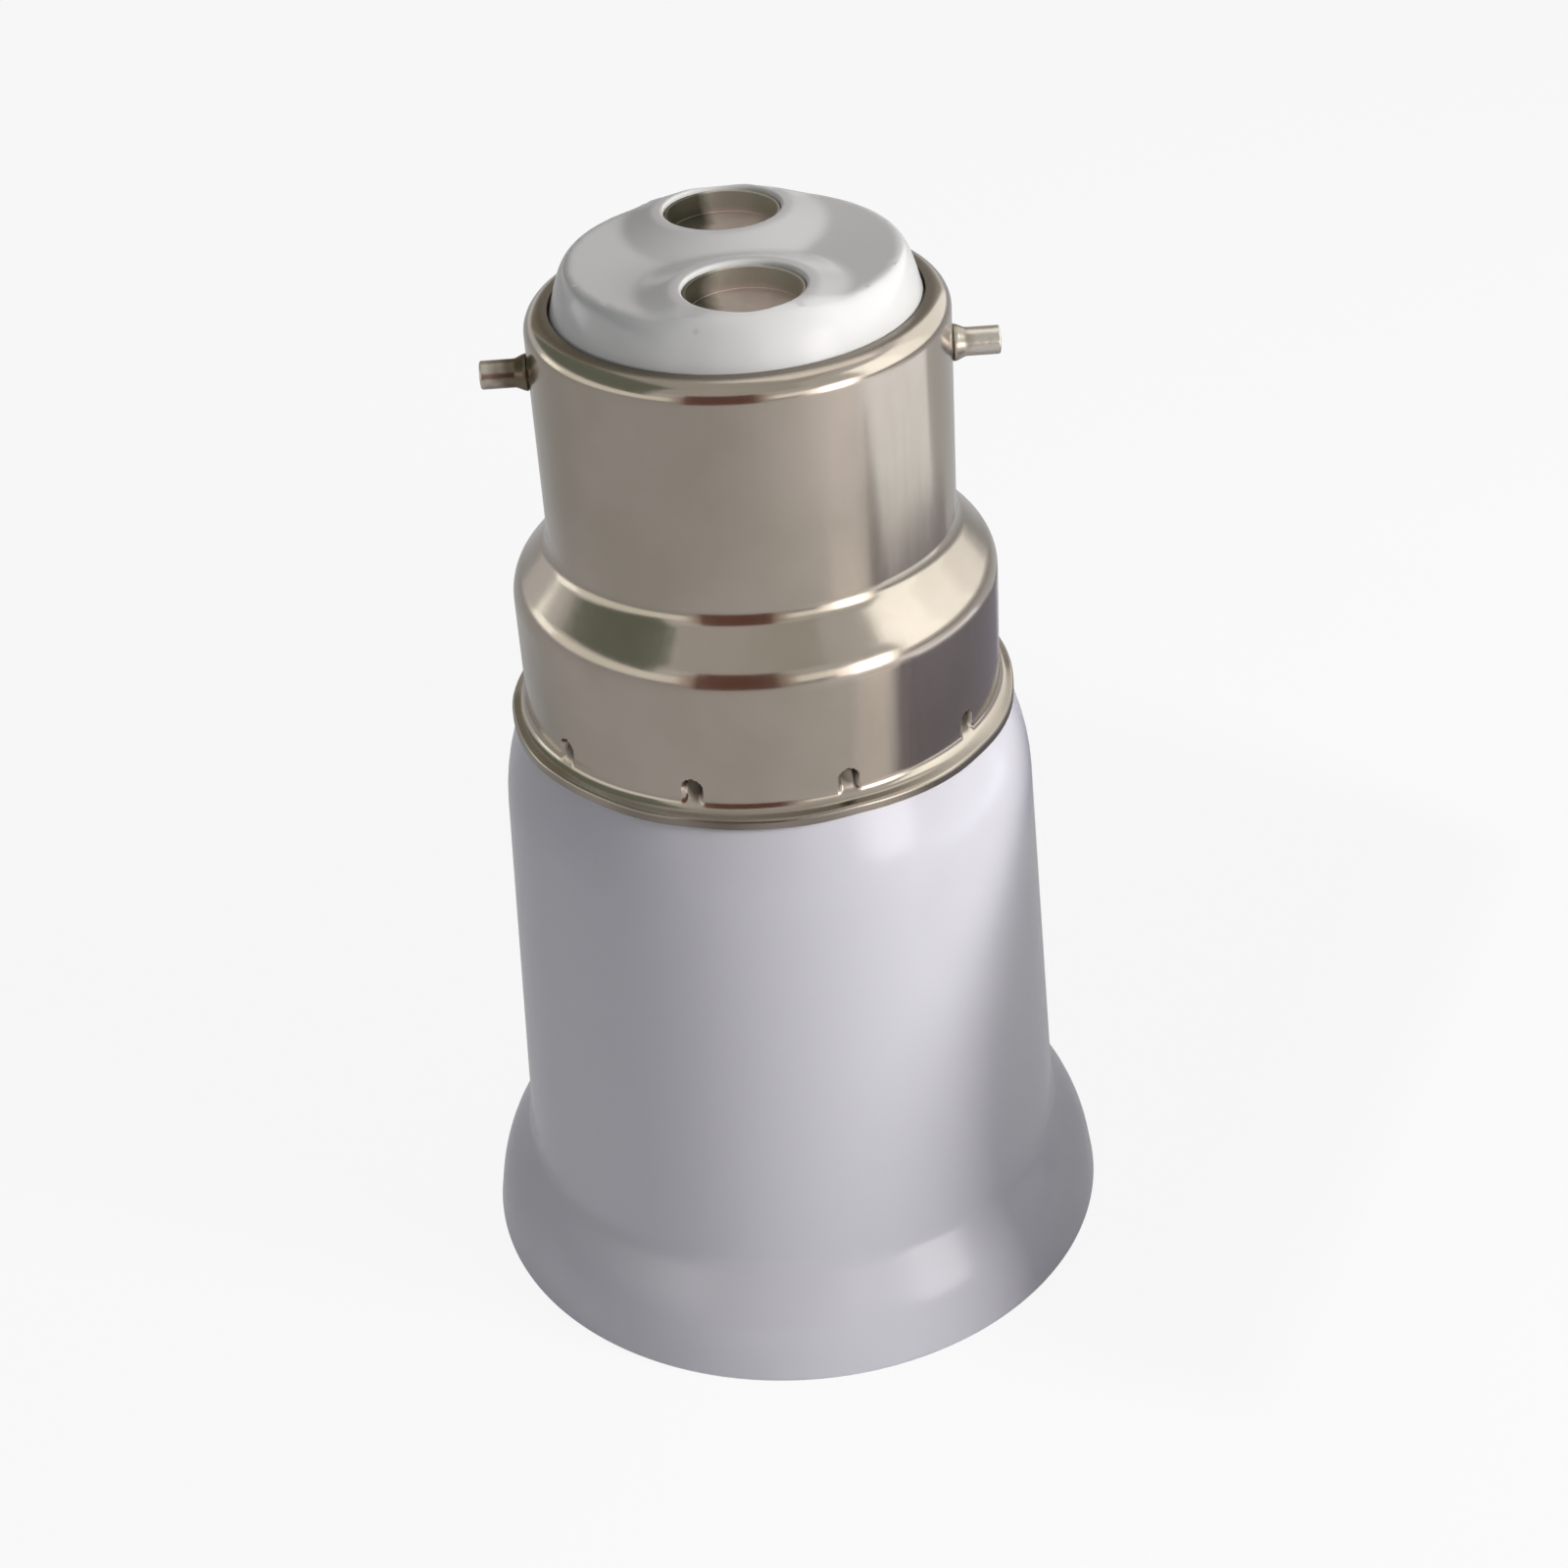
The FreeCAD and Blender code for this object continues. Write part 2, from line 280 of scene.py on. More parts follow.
# Painted shade on the contact cups' walls, and a dark olive painted reflection on their left side
CUP_WALL_SHADE = (0.54, 0.52, 0.45)
CUP_WALL_LOW = 0.45
CUP_WALL_FADE = 0.2
SIDE_REFLECTION_COLOUR = (0.1, 0.095, 0.065)
SIDE_REFLECTION_ENDS = (-0.9, -1.7)
SIDE_REFLECTION_WOBBLE = 0.3


def material(name, colour, roughness, metallic=0.0):
    """New material, its node tree, its shader and its object coordinates."""
    made = bpy.data.materials.new(name)
    made.use_nodes = True
    tree = made.node_tree
    shader = tree.nodes["Principled BSDF"]
    shader.inputs["Base Color"].default_value = (*colour, 1)
    shader.inputs["Roughness"].default_value = roughness
    shader.inputs["Metallic"].default_value = metallic
    return made, tree, shader, object_place(tree)


def object_place(tree):
    """Object coordinates, in metres."""
    return tree.nodes.new("ShaderNodeTexCoord").outputs["Object"]


def axes(tree, place):
    """The coordinates as three sockets, X, Y and Z."""
    split = tree.nodes.new("ShaderNodeSeparateXYZ")
    tree.links.new(place, split.inputs["Vector"])
    return split.outputs


def noise(tree, place, scale, stretch=ALL_WAYS, detail=3.0):
    """Noise whose features are about 1 / scale metres, squeezed along some axes."""
    mapping = tree.nodes.new("ShaderNodeMapping")
    mapping.inputs["Scale"].default_value = stretch
    tree.links.new(place, mapping.inputs["Vector"])
    texture = tree.nodes.new("ShaderNodeTexNoise")
    texture.inputs["Scale"].default_value = scale
    texture.inputs["Detail"].default_value = detail
    tree.links.new(mapping.outputs["Vector"], texture.inputs["Vector"])
    return texture.outputs["Fac"]


def ramp(tree, value, stops):
    """Colour ramp over (position, colour) stops."""
    node = tree.nodes.new("ShaderNodeValToRGB")
    elements = node.color_ramp.elements
    while len(elements) < len(stops):
        elements.new(0.5)
    for element, (position, colour) in zip(elements, stops):
        element.position = position
        element.color = (*colour, 1)
    tree.links.new(value, node.inputs["Fac"])
    return node.outputs["Color"]


def span(tree, value, from_low, from_high, to_low, to_high):
    """Value carried from one range to another and held at its ends."""
    node = tree.nodes.new("ShaderNodeMapRange")
    for socket, number in zip(("From Min", "From Max", "To Min", "To Max"),
                              (from_low, from_high, to_low, to_high)):
        node.inputs[socket].default_value = number
    tree.links.new(value, node.inputs["Value"])
    return node.outputs["Result"]


def maths(tree, operation, *values):
    """Sum, product or the like of sockets and numbers."""
    node = tree.nodes.new("ShaderNodeMath")
    node.operation = operation
    for socket, value in zip(node.inputs, values):
        if isinstance(value, (int, float)):
            socket.default_value = value
        else:
            tree.links.new(value, socket)
    return node.outputs[0]


def layered(tree, share, under, over):
    """Colour that goes from a socket's to a given one by a share."""
    node = tree.nodes.new("ShaderNodeMix")
    node.data_type = "RGBA"
    tree.links.new(share, node.inputs["Factor"])
    tree.links.new(under, node.inputs["A"])
    node.inputs["B"].default_value = (*over, 1)
    return node.outputs["Result"]


def bump(tree, shader, height, distance):
    """Bump of a height field on a shader, its distance in millimetres."""
    node = tree.nodes.new("ShaderNodeBump")
    node.inputs["Distance"].default_value = distance * MM
    node.inputs["Strength"].default_value = 1.0
    tree.links.new(height, node.inputs["Height"])
    tree.links.new(node.outputs["Normal"], shader.inputs["Normal"])


def feeding(shader, socket):
    """The socket that a shader's input is linked from."""
    return shader.inputs[socket].links[0].from_socket


def moulded_plastic(name, colour, shade, roughness):
    """Gloss moulding with faint mottling and uneven gloss."""
    made, tree, shader, place = material(name, colour, roughness)
    mottle = noise(tree, place, MOTTLE_SCALE, detail=1)
    tree.links.new(ramp(tree, mottle, [(0.2, colour), (0.9, shade)]), shader.inputs["Base Color"])
    gloss = noise(tree, place, GLOSS_SCALE, detail=1)
    uneven = span(tree, gloss, 0.2, 0.8, roughness * 0.92, roughness * 1.1)
    tree.links.new(uneven, shader.inputs["Roughness"])
    return made


def specked(finish):
    """Adds one small grey speck to a moulding."""
    tree = finish.node_tree
    shader = tree.nodes["Principled BSDF"]
    away = tree.nodes.new("ShaderNodeVectorMath")
    away.operation = "DISTANCE"
    tree.links.new(object_place(tree), away.inputs[0])
    away.inputs[1].default_value = Vector(SPECK_PLACE) * MM
    share = span(tree, away.outputs["Value"], SPECK_R * MM, SPECK_R * MM * 0.4, 0, 0.45)
    colour = layered(tree, share, feeding(shader, "Base Color"), SPECK_COLOUR)
    tree.links.new(colour, shader.inputs["Base Color"])


def drawn_metal(name, colour, shade, roughness, drawn):
    """Plated sheet: fine lines along the draw, soft clouding of tint and gloss."""
    made, tree, shader, place = material(name, colour, roughness, metallic=1.0)
    cloud = noise(tree, place, CLOUD_SCALE, detail=4)
    tree.links.new(ramp(tree, cloud, [(0.4, colour), (0.6, shade)]), shader.inputs["Base Color"])
    lines = noise(tree, place, LINE_SCALE, stretch=drawn, detail=5)
    uneven = span(tree, lines, 0.3, 0.7, roughness * 0.88, roughness * 1.15)
    tree.links.new(uneven, shader.inputs["Roughness"])
    bump(tree, shader, lines, LINE_BUMP)
    return made


def add_painted_shade_layer(finish, name):
    """Adds painted shade, dark and dull, by a mesh attribute from 0 to 1 (also the lip's darker
    band).
    """
    tree = finish.node_tree
    shader = tree.nodes["Principled BSDF"]
    mark = tree.nodes.new("ShaderNodeAttribute")
    mark.attribute_name = name
    amount = span(tree, mark.outputs["Fac"], 0.05, 0.5, 0, 0.85)
    for socket, dark in (("Base Color", PAINTED_SHADE_COLOUR), ("Roughness", PAINTED_SHADE_ROUGHNESS)):
        darkened = layered(tree, amount, feeding(shader, socket), dark)
        tree.links.new(darkened, shader.inputs[socket])


def cup_painted_shade(finish):
    """Adds to the contacts' plating painted shade on the cup wall and a dark olive painted
    reflection on one side.
    """
    tree = finish.node_tree
    shader = tree.nodes["Principled BSDF"]
    place = object_place(tree)
    split = axes(tree, place)
    wobble = SIDE_REFLECTION_WOBBLE * MM
    uneven = span(tree, noise(tree, place, 500), 0.3, 0.7, -wobble, wobble)
    edge = maths(tree, "ADD", split["X"], uneven)
    wall = CUP_LOW + CUP_WALL_LOW
    colour = feeding(shader, "Base Color")
    # Painted shade on the wall, then a painted dark reflection on the left side
    for value, ends, tint in ((split["Z"], (wall, wall + CUP_WALL_FADE), CUP_WALL_SHADE),
                              (edge, SIDE_REFLECTION_ENDS, SIDE_REFLECTION_COLOUR)):
        share = span(tree, value, ends[0] * MM, ends[1] * MM, 0, 0.92)
        colour = layered(tree, share, colour, tint)
    tree.links.new(colour, shader.inputs["Base Color"])


def pin_with_painted_light():
    """Plated pin steel, brown and duller towards the sleeve; the right pin painted lighter as
    painted light.
    """
    made, tree, shader, place = material("pin_steel", (0.5, 0.46, 0.42), 0.3, metallic=1.0)
    across = axes(tree, place)["X"]
    uneven, lift, tip = PIN_MOTTLE * MM, PIN_LIT_SIDE * MM, PIN_REACH * MM
    mottle = span(tree, noise(tree, place, 900), 0.3, 0.7, -uneven, uneven)
    # Painted light: the right pin lighter, the left darker
    lit_side = span(tree, across, -tip, tip, -lift, lift)
    reach = maths(tree, "ADD", maths(tree, "ABSOLUTE", across), mottle)
    reach = maths(tree, "ADD", reach, lit_side)
    along = span(tree, reach, PIN_RAMP_ENDS[0] * MM, PIN_RAMP_ENDS[1] * MM, 0, 1)
    tree.links.new(ramp(tree, along, PIN_RAMP), shader.inputs["Base Color"])
    bump(tree, shader, noise(tree, place, 1500), PIN_BUMP)
    return made


def make_materials():
    """All the finishes by name."""
    made = {key: moulded_plastic(*row) for key, row in MOULDINGS.items()}
    made.update((key, drawn_metal(*row)) for key, row in SHEETS.items())
    # Pins darker towards the sleeve, the right one painted lighter as painted light
    made["pin"] = pin_with_painted_light()
    specked(made["insulator"])
    # Painted shade on the sleeve, in the dimples and at the rim, and the lip's darker band
    add_painted_shade_layer(made["nickel"], "painted_shade_and_lip_band")
    # Painted shade and a painted reflection in the contact cups
    cup_painted_shade(made["cup"])
    return made


# Housing

FLARE = (18.05, 3.3)
FLARE_ROUND = 9.0
WAIST = (16.0, 6.6)
WAIST_ROUND = 2.6
BODY_TOP_R = 14.8
SHOULDER_DROP = 3.75
SHOULDER_ROUND = 13.0
SEAT_R = 13.55
SEAT_GAP = 0.15
NECK_R = 12.65
NECK_INNER_R = 9.25
PARTITION_TOP = 29.4
BORE_R = 14.0
SKIRT_INNER_R = 16.3
SKIRT_DEPTH = 3.6
BORE_ROUND = 0.5
SKIRT_ROUND = 0.6
RIM_INNER_ROUND = 0.3
RIM_OUTER_ROUND = 0.35
SEAT_ROUND = 0.2
HOUSING_COUNT = 256


def build_housing(finish):
    """White moulding with its round edges: skirt, body, shoulder, neck, partition and bore."""
    seat = LIP_Z + SEAT_GAP
    outline = softened([
        (0, PARTITION_Z),
        (BORE_R, PARTITION_Z),
        (BORE_R, SKIRT_DEPTH, BORE_ROUND),
        (SKIRT_INNER_R, SKIRT_DEPTH, SKIRT_ROUND),
        (SKIRT_INNER_R, 0, RIM_INNER_ROUND),
        (MOUTH_R, 0, RIM_OUTER_ROUND),
        (*FLARE, FLARE_ROUND),
        (*WAIST, WAIST_ROUND),
        (BODY_TOP_R, seat - SHOULDER_DROP, SHOULDER_ROUND),
        (SEAT_R, seat, SEAT_ROUND),
        (NECK_R, seat),
        (NECK_R, NECK_TOP),
        (NECK_INNER_R, NECK_TOP),
        (NECK_INNER_R, PARTITION_TOP),
        (0, PARTITION_TOP),
    ], 4.0)
    bm = bmesh.new()
    lathe(bm, divided(outline, 2.0), even_angles(HOUSING_COUNT))
    piece = new_object("housing_skin", bm, finish)
    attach(piece, "adapter")
    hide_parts("housing_body")


# Bayonet shell

SHEET = 0.35
CAP_R = 11.0
RIM_INNER_R = 9.7
SHOULDER_TOP_Z = 46.0
COLLAR_R = 13.15
COLLAR_TOP_Z = 43.6
LIP_RISE = 0.85
LIP_EDGE = 0.5
DIMPLE_COUNT = 10
DIMPLE_LOW = 36.15
DIMPLE_LENGTH = 1.5
DIMPLE_HALF = 0.58
DIMPLE_DEPTH = 0.42
DIMPLE_SPACING = 2 * math.pi / DIMPLE_COUNT
FIRST_DIMPLE = -math.pi / 2 + DIMPLE_SPACING / 2
PUNCH_STEP = 0.085
PUNCH_NEAR = 0.85
PUNCH_GAPS = 12
LIP_WAVE = 0.16
# Painted shade on the rim, where the sleeve meets the insulator
RIM_SHADE = 0.3
RIM_SHADE_WIDTH = 0.75
RIM_SHADE_FADE = 0.3
# Darker band along the lip's lower edge
LIP_BAND = 0.27
LIP_BAND_FADE = 0.6


def shell_angles():
    """Angles round the sleeve, close together at each crimp dimple and wider between them."""
    count = int(2 * PUNCH_NEAR / PUNCH_STEP) + 1
    fine = [k * PUNCH_STEP - PUNCH_NEAR for k in range(count)]
    gap = DIMPLE_SPACING * COLLAR_R - 2 * PUNCH_NEAR
    coarse = [PUNCH_NEAR + gap * k / PUNCH_GAPS for k in range(1, PUNCH_GAPS)]
    return [FIRST_DIMPLE + i * DIMPLE_SPACING + s / COLLAR_R
            for i in range(DIMPLE_COUNT) for s in fine + coarse]


def from_dimple(angle):
    """Distance round the collar from the middle of the nearest dimple."""
    half = DIMPLE_SPACING / 2
    return ((angle - FIRST_DIMPLE + half) % DIMPLE_SPACING - half) * COLLAR_R


def punch_depth(angle, height):
    """Depth of a crimp dimple: a wedge that deepens upward to a short curved step."""
    across = abs(from_dimple(angle)) / DIMPLE_HALF
    if across >= 1:
        return 0.0
    top = DIMPLE_LENGTH * (1 - 0.28 * across ** 2)
    along = (height - DIMPLE_LOW) / top
    if along <= 0 or along >= 1:
        return 0.0
    lip = min(1, (1 - along) * top / PUNCH_STEP)
    return DIMPLE_DEPTH * min(1, along * 1.25) * min(1, (1 - across) * 2.4) * lip


def rim_painted_shade(radius, height):
    """Share of painted shade on the sleeve's rim, where it meets the insulator."""
    if height <= RIM_Z - 0.2:
        return 0.0
    return RIM_SHADE * clamped((RIM_INNER_R + RIM_SHADE_WIDTH - radius) / RIM_SHADE_FADE)


def dimple_shade_and_lip_band(angle, height):
    """Share of the dark layer: painted shade in the punch marks, heavier on one side, and a darker
    band along the lip.
    """
    # Painted shade heavier on the side of each dimple turned from the light
    side = 0.95 + 0.8 * from_dimple(angle) / DIMPLE_HALF
    darkened = punch_depth(angle, height) / DIMPLE_DEPTH * max(0.1, min(1.0, side))
    # Darker band along the lip's lower edge, patchy round the sleeve
    patchy = LIP_BAND + 0.07 * math.sin(4 * angle + 2.6) + 0.05 * math.sin(17 * angle)
    return max(darkened, clamped(1.6 - (height - LIP_Z) / LIP_BAND_FADE) * patchy)


def shell_shape(radius, height, angle):
    """Sleeve surface with its dimples, and the slightly uneven out-turned lip."""
    radius -= punch_depth(angle, height)
    if radius > COLLAR_R + 0.02:
        share = (radius - COLLAR_R) / (LIP_R - COLLAR_R)
        wave = 0.5 + 0.3 * math.sin(3 * angle + 0.7) + 0.2 * math.sin(11 * angle + 2.1)
        radius -= LIP_WAVE * share * wave
        dip = math.cos(DIMPLE_COUNT * (angle - FIRST_DIMPLE))
        height += share * (0.05 + 0.05 * math.sin(5 * angle + 1.3) + 0.04 * max(0.0, dip) ** 3)
    return radius, height


def build_shell(finish):
    """Drawn sleeve: rolled rim, cone shoulder, crimped collar and out-turned lip."""
    outer = softened([
        (RIM_INNER_R, RIM_Z),
        (CAP_R, RIM_Z, 1.1),
        (CAP_R, SHOULDER_TOP_Z, 1.5),
        (COLLAR_R, COLLAR_TOP_Z, 2.1),
        (COLLAR_R, LIP_Z + LIP_RISE, 0.7),
        (LIP_R, LIP_Z + LIP_EDGE, 0.25),
        (LIP_R, LIP_Z),
    ], 6.0)
    outer = divided(outer, PUNCH_STEP, (LIP_Z + LIP_EDGE, DIMPLE_LOW + DIMPLE_LENGTH + 0.2))
    bm = bmesh.new()
    lathe(bm, thick(outer, SHEET), shell_angles(), closed=True, shape=shell_shape)
    piece = new_object("bayonet_sleeve", bm, finish)
    # Painted shade per vertex, in the dimples and at the rim, with the lip's darker band
    shade_layer = piece.data.attributes.new("painted_shade_and_lip_band", "FLOAT", "POINT")
    for vertex, value in zip(piece.data.vertices, shade_layer.data):
        x, y, z = vertex.co / MM
        value.value = max(dimple_shade_and_lip_band(math.atan2(y, x), z), rim_painted_shade(math.hypot(x, y), z))
    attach(piece, "adapter")
    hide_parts("bayonet_shell")


# Side pins

PIN_R = 0.75
PIN_BEAD_R = 1.0
PIN_BEAD_LENGTH = 0.65
PIN_HEAD_R = 1.4
PIN_HEAD = 0.6
PIN_COUNT = 64


def build_pin(side, name, finish):
    """Side pin with a rounded tip and a swaged bead where it leaves the sleeve."""
    bead = CAP_R + 0.02
    outline = softened([
        (0, PIN_ROOT),
        (PIN_HEAD_R, PIN_ROOT, 0.12),
        (PIN_HEAD_R, PIN_ROOT + PIN_HEAD, 0.1),
        (PIN_R, PIN_ROOT + PIN_HEAD),
        (PIN_R, bead),
        (PIN_BEAD_R, bead, 0.08),
        (PIN_BEAD_R - 0.06, bead + PIN_BEAD_LENGTH * 0.35, 0.12),
        (PIN_R, bead + PIN_BEAD_LENGTH, 0.5),
        (PIN_R, PIN_REACH, 0.12),
        (0, PIN_REACH),
    ], 12.0)
    bm = bmesh.new()
    lathe(bm, outline, even_angles(PIN_COUNT))
    bmesh.ops.rotate(bm, verts=bm.verts, matrix=Matrix.Rotation(side * math.pi / 2, 3, "Y"))
    bmesh.ops.translate(bm, verts=bm.verts, vec=(0, 0, PIN_Z))
    piece = new_object(name + "_turned", bm, finish)
    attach(piece, "adapter")
    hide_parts(name)


# Insulator

HOLE_R = CUP_R + 0.05
BAND_LOW_R = 9.65
BAND_LOW_Z = 58.5
EDGE_R = 8.9
EDGE_Z = 61.25
DISH_SAG = 0.65
BOSS_TOP_R = 3.7
BOSS_SLOPE = math.tan(math.radians(17.0))
INSULATOR_INNER_R = 8.9
WEB_Z = 58.2
HOLE_ROUND = 0.16
CREASE = 1.9
BOSS_BLEND = 0.12
END_RINGS = (BAND_LOW_R, 9.6, 9.5, 9.4, 9.3, 9.2, 9.1, 9.03, 8.96, 8.9, 8.84, 8.78, 8.7, 8.6)
END_COUNT = 240
HOLE_LIFTS = (0, 0.01, 0.04, 0.09, 0.15, 0.22)
HOLE_COUNT = 96
FILL_R = 8.45
FILL_PITCH = 0.26
FILL_CLEAR = 0.34


def blended(a, b, reach):
    """Smooth minimum of two heights, blended over a reach."""
    mix = clamped(0.5 + 0.5 * (b - a) / reach)
    return b * (1 - mix) + a * mix - reach * mix * (1 - mix)


def end_height(x, y):
    """Height of the insulator's end: a dish with two bosses, cut off by the steep outer band."""
    radius = math.hypot(x, y)
    height = EDGE_Z - DISH_SAG * (1 - (radius / EDGE_R) ** 1.2)
    nearest = 100.0
    for place in CONTACTS.values():
        away = math.hypot(x - place.x, y - place.y)
        nearest = min(nearest, away)
        boss = BOSS_Z - BOSS_SLOPE * max(0.0, away - BOSS_TOP_R)
        height = -blended(-height, -boss, BOSS_BLEND)
    height = min(height, BOSS_Z)
    band = BAND_LOW_Z + (BAND_LOW_R - radius) * (EDGE_Z - BAND_LOW_Z) / (BAND_LOW_R - EDGE_R)
    height = blended(height, band, CREASE)
    if nearest < HOLE_R + HOLE_ROUND:
        lift = nearest - HOLE_R
        inward = HOLE_ROUND - (lift if lift > 0.001 else 0)
        height -= HOLE_ROUND - math.sqrt(HOLE_ROUND ** 2 - inward ** 2)
    return height


def ring_points(centre, radius, count):
    """Points evenly round a circle."""
    return [Vector((centre[0] + radius * math.cos(a), centre[1] + radius * math.sin(a)))
            for a in even_angles(count)]


def end_face(bm):
    """Adds the insulator's end as a fine triangle mesh with its two round holes."""
    points = []
    edges = []

    def add_ring(centre, radius, count):
        start = len(points)
        points.extend(ring_points(centre, radius, count))
        edges.extend((start + k, start + (k + 1) % count) for k in range(count))

    for radius in END_RINGS:
        add_ring((0, 0), radius, END_COUNT)
    for place in CONTACTS.values():
        for lift in HOLE_LIFTS:
            add_ring(place, HOLE_R + lift, HOLE_COUNT)
    reach = int(FILL_R / FILL_PITCH)
    for i in range(-reach, reach + 1):
        for j in range(-reach, reach + 1):
            spot = Vector(((i + 0.5 * (j % 2)) * FILL_PITCH, j * FILL_PITCH * 0.866))
            away = min((spot - place).length for place in CONTACTS.values())
            if spot.length < FILL_R and away > HOLE_R + FILL_CLEAR:
                points.append(spot)
    verts, _, faces, *_ = delaunay_2d_cdt(points, edges, [], 0, 1e-5)
    made = [bm.verts.new((v.x, v.y, end_height(v.x, v.y))) for v in verts]
    for face in faces:
        middle = sum((Vector(verts[i]) for i in face), Vector((0, 0))) / len(face)
        inside = min((middle - place).length for place in CONTACTS.values()) > HOLE_R * 0.9995
        if inside and middle.length < BAND_LOW_R:
            bm.faces.new([made[i] for i in face])


def build_insulator(finish):
    """White end piece: dished face, two bosses, steep band and the skirt inside the sleeve."""
    bm = bmesh.new()
    end_face(bm)
    skirt = [Vector(p) for p in (
        (BAND_LOW_R, end_height(BAND_LOW_R, 0)),
        (INSULATOR_R - 0.6, BAND_LOW_Z - 0.3),
        (INSULATOR_R, BAND_LOW_Z - 0.9),
        (INSULATOR_R, INSULATOR_Z),
        (INSULATOR_INNER_R, INSULATOR_Z),
        (INSULATOR_INNER_R, WEB_Z),
        (0, WEB_Z),
    )]
    lathe(bm, skirt, even_angles(END_COUNT))
    wall = [Vector(p) for p in ((HOLE_R, BOSS_Z), (HOLE_R, CUP_LOW), (0, CUP_LOW))]
    for place in CONTACTS.values():
        def rimmed(radius, height, angle):
            if height > CUP_LOW + 0.5:
                x = place.x + radius * math.cos(angle)
                y = place.y + radius * math.sin(angle)
                height = end_height(x, y)
            return radius, height

        lathe(bm, wall, even_angles(HOLE_COUNT), centre=place, shape=rimmed)
    piece = new_object("insulator_moulding", bm, finish, 32)
    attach(piece, "adapter")
    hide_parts("cap_insulator")


# Contact cups

CUP_SHEET = 0.14
CUP_FLOOR = 0.35
CUP_COUNT = 96


def build_cup(node, finish):
    """Sunk contact: drawn cup with a round floor corner and a thin rolled edge."""
    floor = CUP_LOW + CUP_FLOOR
    inner = CUP_R - CUP_SHEET
    outline = softened([
        (0, floor + 0.06),
        (1.6, floor + 0.04, 2.0),
        (inner, floor, 0.05),
        (inner, CUP_TOP - 0.2, 0.05),
        (CUP_R, CUP_TOP - 0.18, 0.04),
        (CUP_R, CUP_LOW, 0.2),
        (0, CUP_LOW),
    ], 10.0)
    bm = bmesh.new()
    lathe(bm, outline, even_angles(CUP_COUNT), centre=CONTACTS[node])
    piece = new_object(node + "_drawn", bm, finish)
    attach(piece, "adapter")
    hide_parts(node)


# Screw shell

SCREW_SHEET = 0.35
THREAD_PITCH = 25.4 / 7
THREAD_MINOR_R = 12.25
THROAT_R = 12.2
THROAT_Z = 21.5
THROAT_RISE = 1.0
FLANGE_HOLE_R = 7.6
LUG_HALF = 1.5
LUG_REACH = 8.4
LUG_ENDS = (-6.9, 4.4)
LUG_ROUND = 0.5
SCREW_COUNT = 192
SCREW_ROUND = 0.6
THREAD_FADE = 1.2


def build_screw_shell(finish):
    """Rolled thread sleeve: round knuckle thread, plain throat, flange and bent lugs."""
    major = SCREW_R - SCREW_SHEET

    def rolled(radius, height, angle):
        ends = clamped(min(height - SCREW_LOW, THROAT_Z - height) / THREAD_FADE)
        turn = 2 * math.pi * height / THREAD_PITCH - angle
        return radius - (major - THREAD_MINOR_R) * ends * (0.5 - 0.5 * math.cos(turn)), height

    outer = softened([
        (FLANGE_HOLE_R, PARTITION_Z),
        (THROAT_R + SCREW_SHEET, PARTITION_Z, SCREW_ROUND),
        (THROAT_R + SCREW_SHEET, THROAT_Z + THROAT_RISE, SCREW_ROUND),
        (SCREW_R, THROAT_Z, SCREW_ROUND),
        (SCREW_R, SCREW_LOW),
    ], 10.0)
    outer = divided(outer, 0.2, (SCREW_LOW, THROAT_Z))
    bm = bmesh.new()
    lathe(bm, thick(outer, SCREW_SHEET), even_angles(SCREW_COUNT), closed=True, shape=rolled)
    for end in LUG_ENDS:
        side = math.copysign(1, end)
        bent = softened([
            (-side * LUG_REACH, PARTITION_Z - SCREW_SHEET / 2),
            (-side * LUG_REACH, LUG_TOP, LUG_ROUND),
            (-end, LUG_TOP),
        ], 15.0)
        add_strip(bm, bent, side * SCREW_SHEET, LUG_HALF)
    piece = new_object("screw_sleeve_rolled", bm, finish)
    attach(piece, "adapter")
    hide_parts("screw_shell")


# Sprung centre contact

LEAF_SHEET = 0.4
LEAF_FOLD_R = 1.5
LEAF_FOLD = 3.4
PAD_START = 2.0
PAD_END = 2.2
PAD_ROUND = 1.5


def build_leaf(finish):
    """Folded spring strip with smooth bends, on a mesh of its own."""
    side = softened([
        (-LEAF_FRONT, PARTITION_Z),
        (-LEAF_BACK, PARTITION_Z, LEAF_FOLD_R),
        (-LEAF_BACK, PARTITION_Z - LEAF_FOLD, LEAF_FOLD_R),
        (-PAD_START, PAD_Z, PAD_ROUND),
        (PAD_END, PAD_Z),
    ], 8.0)
    bm = bmesh.new()
    add_strip(bm, divided(side, 0.4), -LEAF_SHEET, LEAF_HALF)
    piece = new_object("spring_strip", bm, finish)
    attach(piece, "adapter")
    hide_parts("centre_contact_leaf")
    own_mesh(piece)


# Light and floor

MAIN_LIGHT = (252, -134, 150)
LIGHTS = {
    "main_light": (MAIN_LIGHT, (0, 0, 40), 120, 0.73, (1.0, 0.985, 0.99), False),
    "top_light": ((60, 60, 280), (0, 0, 50), 140, 0.05, (1, 1, 1), True),
    "left_fill": ((-260, -120, 120), (0, 0, 30), 200, 0.038, (0.97, 0.98, 1.0), False),
}
FLOOR_SIZE = 3.0
FLOOR_COLOUR = (0.84, 0.84, 0.85)
FLOOR_SHARES = (0.9, 0.3)
AMBIENT_COLOUR = (0.93, 0.94, 1.0)
AMBIENT_STRENGTH = 0.2
WORLD_SHARES = (1.0, 0.75)

